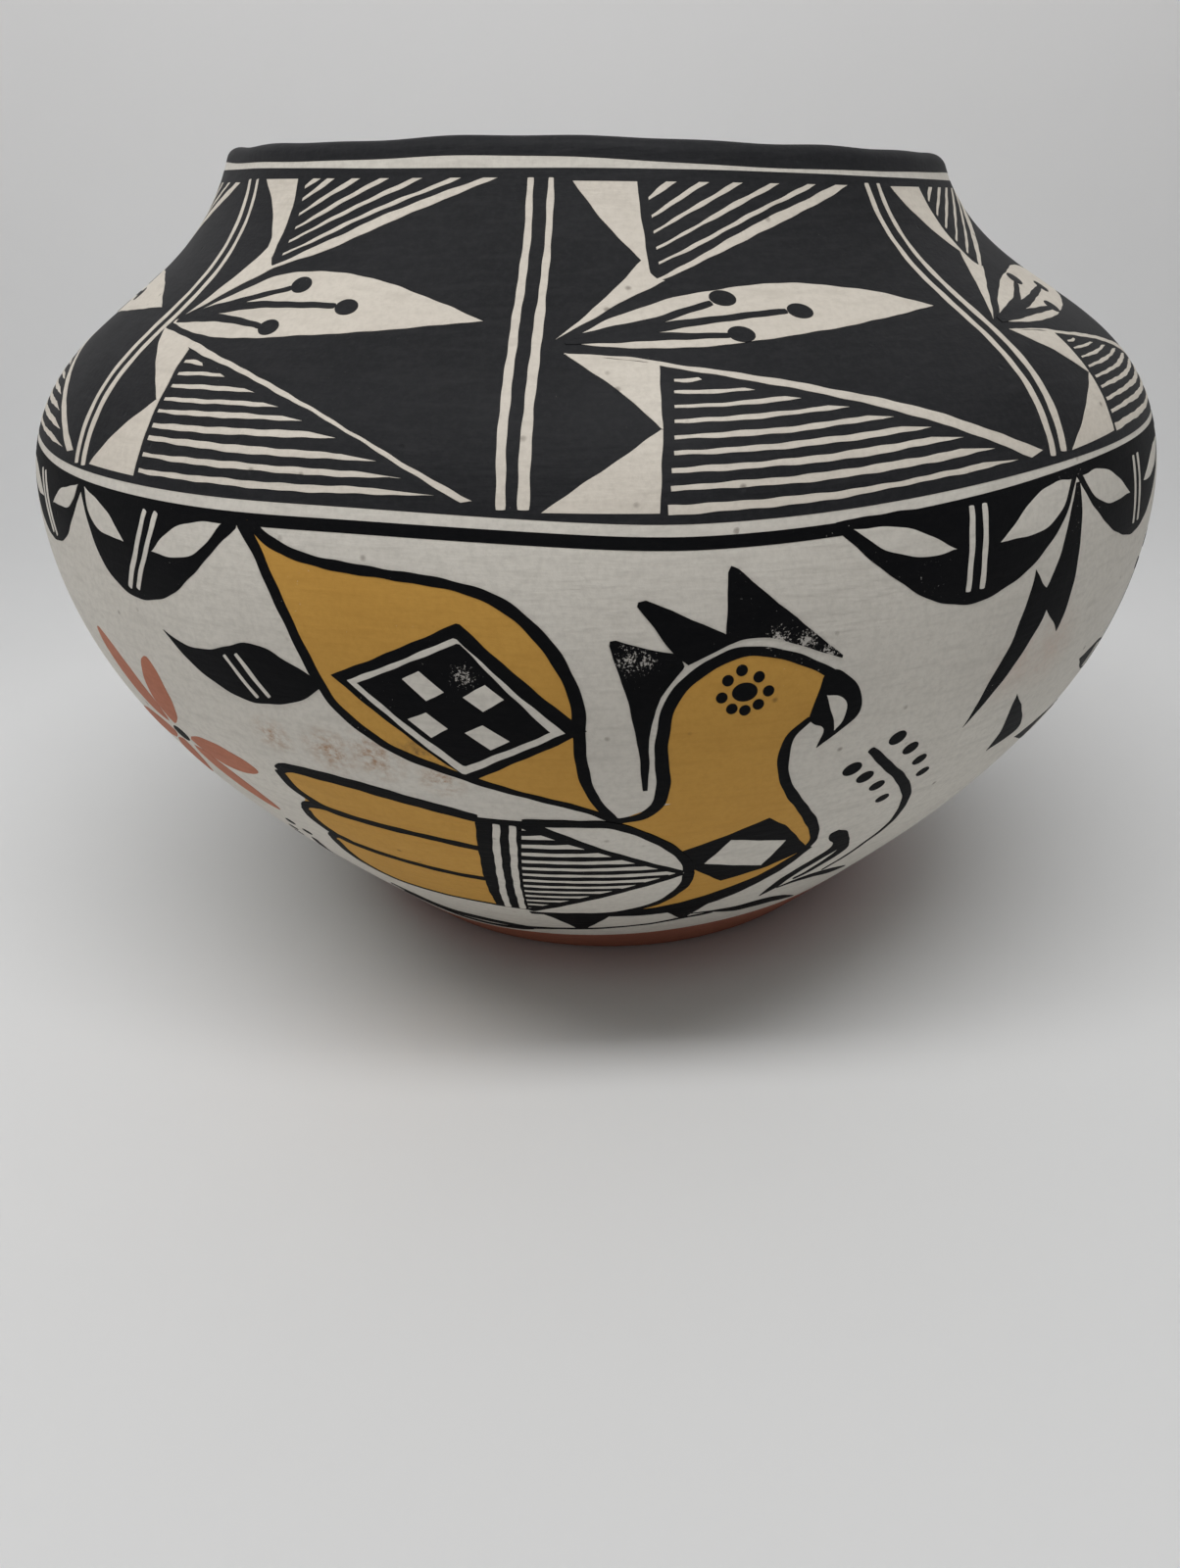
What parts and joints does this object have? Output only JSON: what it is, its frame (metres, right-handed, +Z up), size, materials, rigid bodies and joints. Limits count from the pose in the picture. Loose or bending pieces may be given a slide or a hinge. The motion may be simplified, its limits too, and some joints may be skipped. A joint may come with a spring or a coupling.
{
  "type": "painted pottery jar",
  "caption": "Coil-built wide-bellied pottery jar with a narrow mouth, white slip, painted black, white and ochre, standing on a red-slipped foot; holds dry goods or stands as display.",
  "frame": {"origin": "centre of the foot, on the surface that the jar stands on", "axes": "+Z up along the turning axis; -Y faces the viewer, with the painted bird in front"},
  "size_m": [0.25, 0.25, 0.1685],
  "materials": {
    "red_slip": "matte earthenware with a red-brown clay slip",
    "white_slip": "matte stone-polished white slip on earthenware",
    "black_paint": "matte black mineral paint fired on white slip",
    "ochre_paint": "matte ochre clay paint fired on white slip"
  },
  "bodies": {
    "root": {"base_pat": "red_slip", "wall_coil_1": "white_slip", "wall_coil_2": "white_slip", "wall_coil_3": "white_slip", "wall_coil_4": "white_slip", "wall_coil_5": "white_slip", "wall_coil_6": "black_paint", "wall_coil_7": "black_paint", "wall_coil_8": "black_paint", "lip_coil": "black_paint"}
  },
  "joints": []
}
